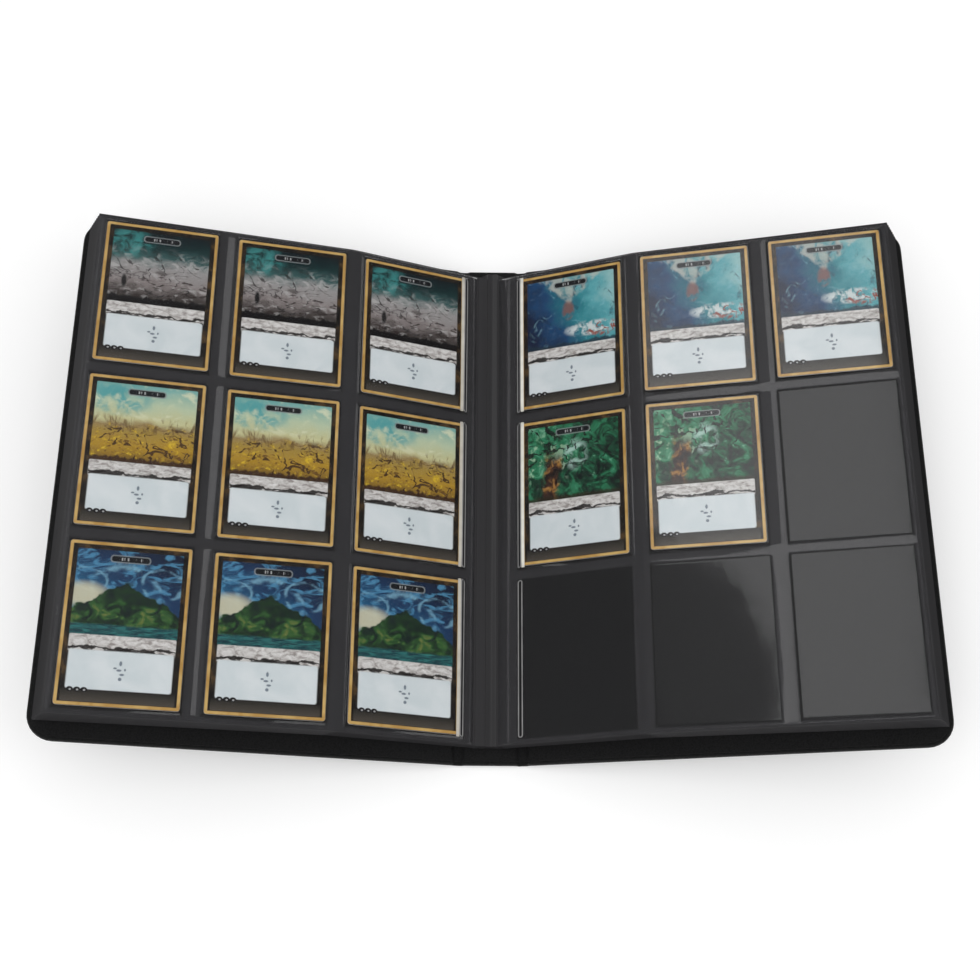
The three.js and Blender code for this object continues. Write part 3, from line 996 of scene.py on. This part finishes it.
class BINDER_OT_linings(bpy.types.Operator):
    """Lays a lining sheet over the boards and the turned-in skin of each half"""
    bl_idname = "binder.linings"
    bl_label = "Linings"

    def execute(self, context):
        look = context.scene.binder_cover
        cloth = leather("lining_sheet", look.lining_colour, 1500.0, 0.58)
        for wing in WINGS:
            self.lay(wing, look, cloth)
        return {"FINISHED"}

    def lay(self, wing, look, cloth):
        section = cover_section(wing)
        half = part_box(f"{wing}_cover_skin")[1].y - look.inset
        bm = bmesh.new()
        outline(bm, 0.0, cover_length(wing) - look.inset, half, look.corner - look.inset)
        thicken(bm, look.lining)
        soften_rim(bm, look.lining * 0.4, 2, bottom=False, keep=beyond_start)
        fold = section.turn_at
        score_wing(bm, fold, half, look.channel)
        base = look.case - UNDER

        def lift(point):
            return base - fold_drop(look) * fold_depth(point.x, fold, look) + point.z

        set_in_place(bm, section, lift)
        piece = finish_piece(f"{wing}_lining_sheet", bm, [cloth])
        start, end = section.ends()
        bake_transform(piece)
        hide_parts(f"{wing}_cover_lining")


class BINDER_OT_boards(bpy.types.Operator):
    """Gives the stiffener boards inside the cover their grey board finish"""
    bl_idname = "binder.boards"
    bl_label = "Stiffener boards"

    def execute(self, context):
        made = Recipe("grey_board", Roughness=0.86)
        fibre = made.noise(made.place(), 500.0, 5.0)
        fleck = made.cells(made.place(), 1400.0)
        shade = made.mix(fibre, (0.17, 0.155, 0.13), (0.30, 0.28, 0.24))
        made.out("Base Color", made.mix(made.step(fleck, 0.12, 0.05), shade, (0.08, 0.07, 0.06)))
        made.bump(fibre, 0.3, 0.0002)
        for name in ("spine_board", "front_cover_board", "back_cover_board"):
            node = frame["nodes"][name]
            node.data.materials.clear()
            node.data.materials.append(made.material)
        return {"FINISHED"}


class BINDER_OT_binding(bpy.types.Operator):
    """Makes the welded block at the spine, with the ribs that the leaves grow from"""
    bl_idname = "binder.binding"
    bl_label = "Page binding"

    def execute(self, context):
        pages = context.scene.binder_pages
        core = page_core("binding_block", pages.core, [c * 0.85 for c in pages.seam], False)
        half, head = leaf_half(), 3.5 * MM
        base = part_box("page_binding")[0].z + 0.55 * MM
        crest, foot = leaf_root(LEAVES), leaf_root(1)
        flush = crest.y + pages.inner_thick / 2 - 0.02 * MM
        inside = crest.x - 0.05 * MM
        valley = [inside * (k / 8 - 1) for k in range(17)]
        profile = [(x, flush - 0.3 * MM * math.cos(0.5 * math.pi * x / inside) ** 2) for x in valley]
        right = [(crest.x - 0.02 * MM, crest.y - 0.3 * MM)]
        for number in range(LEAVES - 1, 0, -1):
            root = leaf_root(number)
            right.append((root.x - 0.45 * MM, root.y + 0.02 * MM))
            right.append((root.x - 0.1 * MM, root.y - 0.3 * MM))
        right.append((foot.x + 1.4 * MM, base))
        profile += right + [(-x, z) for x, z in reversed(right)]
        bm = bmesh.new()
        verts = [bm.verts.new((x, -half, z)) for x, z in profile]
        end = bm.faces.new(verts)
        extrude(bm, [end], (0, 2 * half + head, 0))
        piece = finish_piece("binding_block", bm, [core], 50)
        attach(piece, "spine")
        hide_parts("page_binding")
        return {"FINISHED"}


class BINDER_OT_leaves(bpy.types.Operator):
    """Makes every leaf: a dark sheet pressed into a grid of pockets, bending at its first weld"""
    bl_idname = "binder.leaves"
    bl_label = "Leaves"

    def execute(self, context):
        pages = context.scene.binder_pages
        core = page_core("page_core", pages.core, pages.seam)
        for wing in WINGS:
            for number in range(1, LEAVES + 1):
                self.leaf(wing, number, core)
        self.root_strip(page_core("page_root", pages.core, pages.seam, False))
        return {"FINISHED"}

    def leaf(self, wing, number, core):
        name = f"{wing}_leaf_{number}"
        section = leaf_section(wing, number)
        pockets = Pockets(section)
        turning = wing == "front" and number == LEAVES
        first = STRIP + CREASE if turning else NOSE
        last, half = leaf_length(), leaf_half()
        ends = [first + RIM * k / 4 for k in (1, 2, 3, 5)] + [last - RIM]
        us = pockets.across_places(pockets.weld, 1) + section.bend_places() + ends
        ys = pockets.along_places(pockets.weld, 1) + [RIM - half, half - RIM]
        bm = bmesh.new()
        lined_grid(bm, lines_between(first, last, us), lines_between(-half, half, ys))
        corners = [v for v in bm.verts if v.co.x > last - 1e-6 and abs(v.co.y) > half - 1e-6]
        round_corners(bm, corners, RIM * 0.9, 4)
        thicken(bm, 1.0)
        weld = bm.verts.layers.float.new("weld")
        for v in bm.verts:
            v[weld] = pockets.pressed(v.co.x, v.co.y)

        def lift(point):
            side = 1 if point.z > 0.5 else -1
            half_thick = pockets.thick(point.x) / 2
            edge = 1 - smooth(0, RIM, min(last - point.x, half - abs(point.y)))
            height = half_thick - pockets.emboss * (pockets.pressed(point.x, point.y) + 0.5 * edge)
            if turning:
                return side * height * groove(point.x - STRIP)
            return side * height * nose(point.x)

        set_in_place(bm, section, lift)
        piece = finish_piece(f"{name}_sheet", bm, [core])
        start, end = section.ends()
        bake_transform(piece)
        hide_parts(f"{name}_inner", f"{name}_outer")

    def root_strip(self, core):
        """The part of the turning leaf that stays at the spine, thinned to a crease at its edge."""
        section = leaf_section("front", LEAVES)
        pockets = Pockets(section)
        half = leaf_half()
        near = [NOSE * k for k in (2, 3, 5, 7, 10)] + [STRIP - CREASE * k for k in (3, 5, 8, 12)]
        us = lines_between(NOSE, STRIP - CREASE, near + [STRIP * k / 4 for k in (1, 2, 3)])
        bm = bmesh.new()
        lined_grid(bm, us, lines_between(-half, half, [RIM - half, half - RIM]))
        thicken(bm, 1.0)

        def lift(point):
            side = 1 if point.z > 0.5 else -1
            height = (pockets.inner / 2 - pockets.emboss * 0.5) * nose(point.x)
            return side * height * groove(point.x - STRIP)

        set_in_place(bm, section, lift)
        piece = finish_piece(f"front_leaf_{LEAVES}_strip", bm, [core])
        start, end = section.place(0.2 * MM, 0, 0), section.place(4.5 * MM, 0, 0)
        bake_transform(piece)
        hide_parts(f"front_leaf_{LEAVES}_root")


class BINDER_OT_films(bpy.types.Operator):
    """Lays the clear pocket film over each facing page, cut open at every slot"""
    bl_idname = "binder.films"
    bl_label = "Pocket films"

    def execute(self, context):
        pages = context.scene.binder_pages
        clear = clear_film("pocket_film", pages.haze)
        # Painted highlights: these grey and near-white base colours stand for the glints on the clear film's
        # slot beads and pocket lips, and the back page's lips are painted brighter than the front page's.
        edge = cut_edge("slot_edge", (0.19, 0.19, 0.19), (0.36, 0.36, 0.36))
        lip_glints = {"front": cut_edge("front_lip_glint", (0.42, 0.39, 0.34), (0.66, 0.63, 0.55)),
                "back": cut_edge("back_lip_glint", (0.62, 0.60, 0.52), (0.92, 0.90, 0.82))}
        for wing in WINGS:
            pockets = Pockets(leaf_section(wing, LEAVES))
            self.film(wing, pockets, pages, clear)
            self.slot_edges(wing, pockets, [edge, lip_glints[wing]])
        return {"FINISHED"}

    def film(self, wing, pockets, pages, clear):
        name = f"{wing}_leaf_{LEAVES}"
        section = pockets.section
        first = STRIP + 1.2 * MM if wing == "front" else 1.2 * MM
        last, half = leaf_length() - 0.7 * MM, leaf_half() - 0.7 * MM
        us = pockets.across_places(FILM_STEP, 10) + section.bend_places()
        ys = pockets.along_places(FILM_STEP, 13, [pockets.reach])
        bm = bmesh.new()
        lined_grid(bm, lines_between(first, last, us), lines_between(-half, half, ys))
        holes = [f for f in bm.faces if self.in_slot(f.calc_center_median(), pockets)]
        bmesh.ops.delete(bm, geom=holes, context="FACES")
        filled = FILLED[wing]
        set_in_place(bm, section, lambda p: pockets.film(p.x, p.y, filled))
        piece = finish_piece(f"{wing}_pocket_film", bm, [clear])
        solidify(piece, pages.film, 0.0)
        start, end = section.ends()
        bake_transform(piece)
        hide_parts(f"{name}_inner_film", f"{name}_outer_film")

    def in_slot(self, point, pockets):
        cut = any(low < point.x < start for low, start in zip(pockets.lows, pockets.starts))
        return cut and any(abs(point.y - middle) < pockets.reach for middle in pockets.rows)

    def slot_edges(self, wing, pockets, glint_materials):
        """The welded bead round each opening beside the spine, with its glint painted into its base colour.
        """
        section = pockets.section
        filled = FILLED[wing]
        low, high, reach = pockets.lows[0], pockets.starts[0], pockets.reach
        whole = bmesh.new()
        for row, middle in enumerate(pockets.rows):
            loop = bmesh.new()
            outline(loop, low, high, reach, 1.4 * MM, 1.4 * MM)
            bmesh.ops.inset_region(loop, faces=loop.faces[:], thickness=0.6 * MM, depth=0.0,
                                   use_boundary=True, use_even_offset=True)
            inner = max(loop.faces, key=lambda f: len(f.verts))
            bmesh.ops.delete(loop, geom=[inner], context="FACES")
            bmesh.ops.translate(loop, vec=(0, middle, 0), verts=loop.verts[:])
            score(loop, 1, [middle + reach * k / 4 for k in range(-3, 4)])
            thicken(loop, 0.26 * MM)
            for v in loop.verts:
                edge = pockets.film(high, v.co.y, filled)
                base = pockets.film(low - 2 * MM, v.co.y, filled)
                share = smooth(0.1, 0.75, (v.co.x - low) / (high - low))
                rise = v.co.z + base + (edge - base) * share
                v.co = section.place(v.co.x, v.co.y, rise)
            face_out(loop, section.side)
            self.gather(whole, loop)
            if 0 in filled[row]:
                self.gather(whole, self.lip(pockets, middle, filled))
        piece = finish_piece(f"{wing}_slot_beads", whole, glint_materials)
        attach(piece, f"{wing}_leaf_{LEAVES}")

    def lip(self, pockets, middle, filled):
        """The thick edge of a pocket, over the side of the card in it, with its shine painted as a pale base
        colour.
        """
        section, start = pockets.section, pockets.starts[0]
        strip = bmesh.new()
        us = [start + step * MM for step in (-0.1, 0.0, 0.6, 1.2, 1.75)]
        lined_grid(strip, us, [middle + pockets.reach * k / 8 for k in range(-8, 9)])
        thicken(strip, 1.0)
        # The lip takes the second material, its painted glint.
        for f in strip.faces:
            f.material_index = 1
        for v in strip.verts:
            rise = pockets.film(max(v.co.x, start), v.co.y, filled) + (0.06 + 0.10 * v.co.z) * MM
            v.co = section.place(v.co.x, v.co.y, rise)
        face_out(strip, section.side)
        return strip

    def gather(self, whole, part):
        spare = bpy.data.meshes.new("part")
        part.to_mesh(spare)
        part.free()
        whole.from_mesh(spare)
        bpy.data.meshes.remove(spare)


class BINDER_OT_cards(bpy.types.Operator):
    """Prints and cuts the cards, each lying in its pocket"""
    bl_idname = "binder.cards"
    bl_label = "Cards"

    def execute(self, context):
        designs = {"front": ["mist", "field", "swirl"], "back": ["cliff", "forest"]}
        stock, back = card_stock(), card_back()
        for wing, names in designs.items():
            for row, design in enumerate(names):
                face = card_face(design, row * 1.7 + (wing == "back") * 4.3)
                for column in FILLED[wing][row]:
                    self.card(wing, row, column, [face, stock, back])
        return {"FINISHED"}

    def card(self, wing, row, column, materials):
        look, pages = bpy.context.scene.binder_cards, bpy.context.scene.binder_pages
        node = f"{wing}_card_r{row + 1}_c{column + 1}"
        section = leaf_section(wing, LEAVES)
        slope = card_slope(f"{node}_slide")
        thick = pages.inner_thick if column == 0 else pages.outer_thick
        far = column_start(column) + look.width
        low = section.place(far, 0, thick / 2 + pages.play)
        side = section.side
        turn = Matrix(((side * math.cos(slope), 0, -side * math.sin(slope)), (0, 1, 0),
                       (math.sin(slope), 0, math.cos(slope)))).to_4x4()
        bm = bmesh.new()
        outline(bm, -look.width, 0.0, look.height / 2, look.corner, look.corner)
        thicken(bm, look.thick)
        soften_rim(bm, 0.06 * MM, 1)
        uv = bm.loops.layers.uv.new("Print")
        bm.normal_update()
        for f in bm.faces:
            f.material_index = 0 if f.normal.z > 0.9 else 2 if f.normal.z < -0.9 else 1
            for loop in f.loops:
                across = loop.vert.co.x / look.width + (1 if side > 0 else 0)
                share = across if side > 0 else -across
                loop[uv].uv = (share, loop.vert.co.y / look.height + 0.5)
        bmesh.ops.transform(bm, matrix=turn, verts=bm.verts[:])
        bmesh.ops.translate(bm, vec=(low.x, row_middle(row), low.z), verts=bm.verts[:])
        face_out(bm, side)
        piece = finish_piece(f"{node}_print", bm, materials)
        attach(piece, node)
        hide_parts(node)


class BINDER_OT_stage(bpy.types.Operator):
    """Sets the pale floor, the soft lamps and the camera"""
    bl_idname = "binder.stage"
    bl_label = "Stage"

    def execute(self, context):
        look = context.scene.binder_stage
        context.scene.view_settings.view_transform = "Standard"
        self.floor(look)
        self.lamps(look)
        self.reflector(look)
        self.sky(look)
        self.camera()
        return {"FINISHED"}

    def floor(self, look):
        made = Recipe("floor", Roughness=0.9, Specular_IOR_Level=0.2, Emission_Color=(1, 1, 1, 1),
                      Emission_Strength=0.10)
        drift = made.noise(made.place(), 3.0, 2.0)
        paler = tuple(min(1, c * 1.02) for c in look.floor)
        made.out("Base Color", made.mix(drift, tuple(look.floor), paler))
        bm = bmesh.new()
        bmesh.ops.create_circle(bm, cap_ends=True, segments=96, radius=12.0)
        floor = finish_piece("floor", bm, [made.material])

    def lamps(self, look):
        for name, place, size, power in (("key", (-0.5, -0.8, 1.7), 1.2, look.key),
                                         ("fill", (1.1, -0.6, 1.6), 1.2, look.key * 0.55)):
            lamp = bpy.data.lights.new(name, "AREA")
            lamp.shape, lamp.size, lamp.energy = "DISK", size, power
            holder = bpy.data.objects.new(name, lamp)
            holder.location = place
            holder.visible_glossy = False
            holder.rotation_euler = (-Vector(place)).to_track_quat("-Z", "Y").to_euler()
            bpy.context.scene.collection.objects.link(holder)

    def reflector(self, look):
        """A bright board overhead with a dark disc before it, seen only as a gleam on the film."""
        board, disc = Recipe("reflector_board"), Recipe("reflector_disc", Roughness=1.0)
        board.out("Emission Color", (1, 1, 1))
        board.shader.inputs["Emission Strength"].default_value = look.gleam
        board.shader.inputs["Base Color"].default_value = (0, 0, 0, 1)
        disc.out("Base Color", (0.002, 0.002, 0.002))
        bm = bmesh.new()
        bmesh.ops.create_grid(bm, x_segments=1, y_segments=1, size=0.5)
        bmesh.ops.scale(bm, vec=(0.46, 1.0, 1), verts=bm.verts[:])
        bmesh.ops.translate(bm, vec=(-0.27, 0.60, 1.51), verts=bm.verts[:])
        bright = finish_piece("reflector_board", bm, [board.material])
        bm = bmesh.new()
        bmesh.ops.create_circle(bm, cap_ends=True, segments=96, radius=0.34)
        bmesh.ops.translate(bm, vec=(-0.608, 0.25, 1.50), verts=bm.verts[:])
        dark = finish_piece("reflector_disc", bm, [disc.material])
        for piece in (bright, dark):
            piece.visible_camera = False
            piece.visible_diffuse = False
            piece.visible_shadow = False

    def sky(self, look):
        """Even light all round, which gleams less than it lights."""
        world = bpy.data.worlds.new("sky")
        world.use_nodes = True
        tree = world.node_tree
        tree.nodes["Background"].inputs["Color"].default_value = (1, 1, 1, 1)
        path = tree.nodes.new("ShaderNodeLightPath")
        strength = tree.nodes.new("ShaderNodeMapRange")
        strength.inputs["To Min"].default_value = look.sky
        strength.inputs["To Max"].default_value = look.sky * 0.05
        tree.links.new(path.outputs["Is Glossy Ray"], strength.inputs["Value"])
        tree.links.new(strength.outputs[0], tree.nodes["Background"].inputs["Strength"])
        bpy.context.scene.world = world

    def camera(self):
        """The eye stands in front of the binder and looks down on it."""
        lens = bpy.data.cameras.new("camera")
        lens.lens, lens.sensor_width = 55.81, 36.0
        lens.clip_start, lens.clip_end = 0.01, 50
        eye = bpy.data.objects.new("camera", lens)
        yaw, pitch, roll = (math.radians(v) for v in (1.799, 67.845, 2.209))
        level = math.cos(pitch)
        forward = Vector((math.sin(yaw) * level, math.cos(yaw) * level, -math.sin(pitch)))
        right = forward.cross(Vector((0, 0, 1))).normalized()
        up = right.cross(forward)
        tilted = right * math.cos(roll) + up * math.sin(roll)
        head = up * math.cos(roll) - right * math.sin(roll)
        turn = Matrix((tilted, head, -forward)).transposed().to_4x4()
        eye.matrix_world = Matrix.Translation((-0.01133, -0.32681, 0.82526)) @ turn
        bpy.context.scene.collection.objects.link(eye)
        bpy.context.scene.camera = eye


class BINDER_PT_panel(bpy.types.Panel):
    """Lists the steps that build the binder"""
    bl_idname = "BINDER_PT_panel"
    bl_label = "Card binder"
    bl_space_type = "VIEW_3D"
    bl_region_type = "UI"
    bl_category = "Card binder"

    def draw(self, context):
        for group in ("binder_cover", "binder_pages", "binder_cards", "binder_stage"):
            box = self.layout.box()
            look = getattr(context.scene, group)
            for prop in look.bl_rna.properties:
                if prop.identifier not in ("rna_type", "name"):
                    box.prop(look, prop.identifier)
        for step in STEPS:
            self.layout.operator(step.bl_idname)


STEPS = (BINDER_OT_stage, BINDER_OT_cover_skins, BINDER_OT_linings, BINDER_OT_boards, BINDER_OT_binding,
         BINDER_OT_leaves, BINDER_OT_films, BINDER_OT_cards)
LOOKS = {"binder_cover": CoverLook, "binder_pages": PageLook, "binder_cards": CardLook,
         "binder_stage": StageLook}


def register():
    for made in (*LOOKS.values(), *STEPS, BINDER_PT_panel):
        bpy.utils.register_class(made)
    for name, group in LOOKS.items():
        setattr(bpy.types.Scene, name, bpy.props.PointerProperty(type=group))


def unregister():
    for name in LOOKS:
        delattr(bpy.types.Scene, name)
    for made in (BINDER_PT_panel, *reversed(STEPS), *reversed(tuple(LOOKS.values()))):
        bpy.utils.unregister_class(made)


def main():
    register()
    for step in STEPS:
        area, action = step.bl_idname.split(".")
        getattr(getattr(bpy.ops, area), action)()


if __name__ == "__main__":
    main()
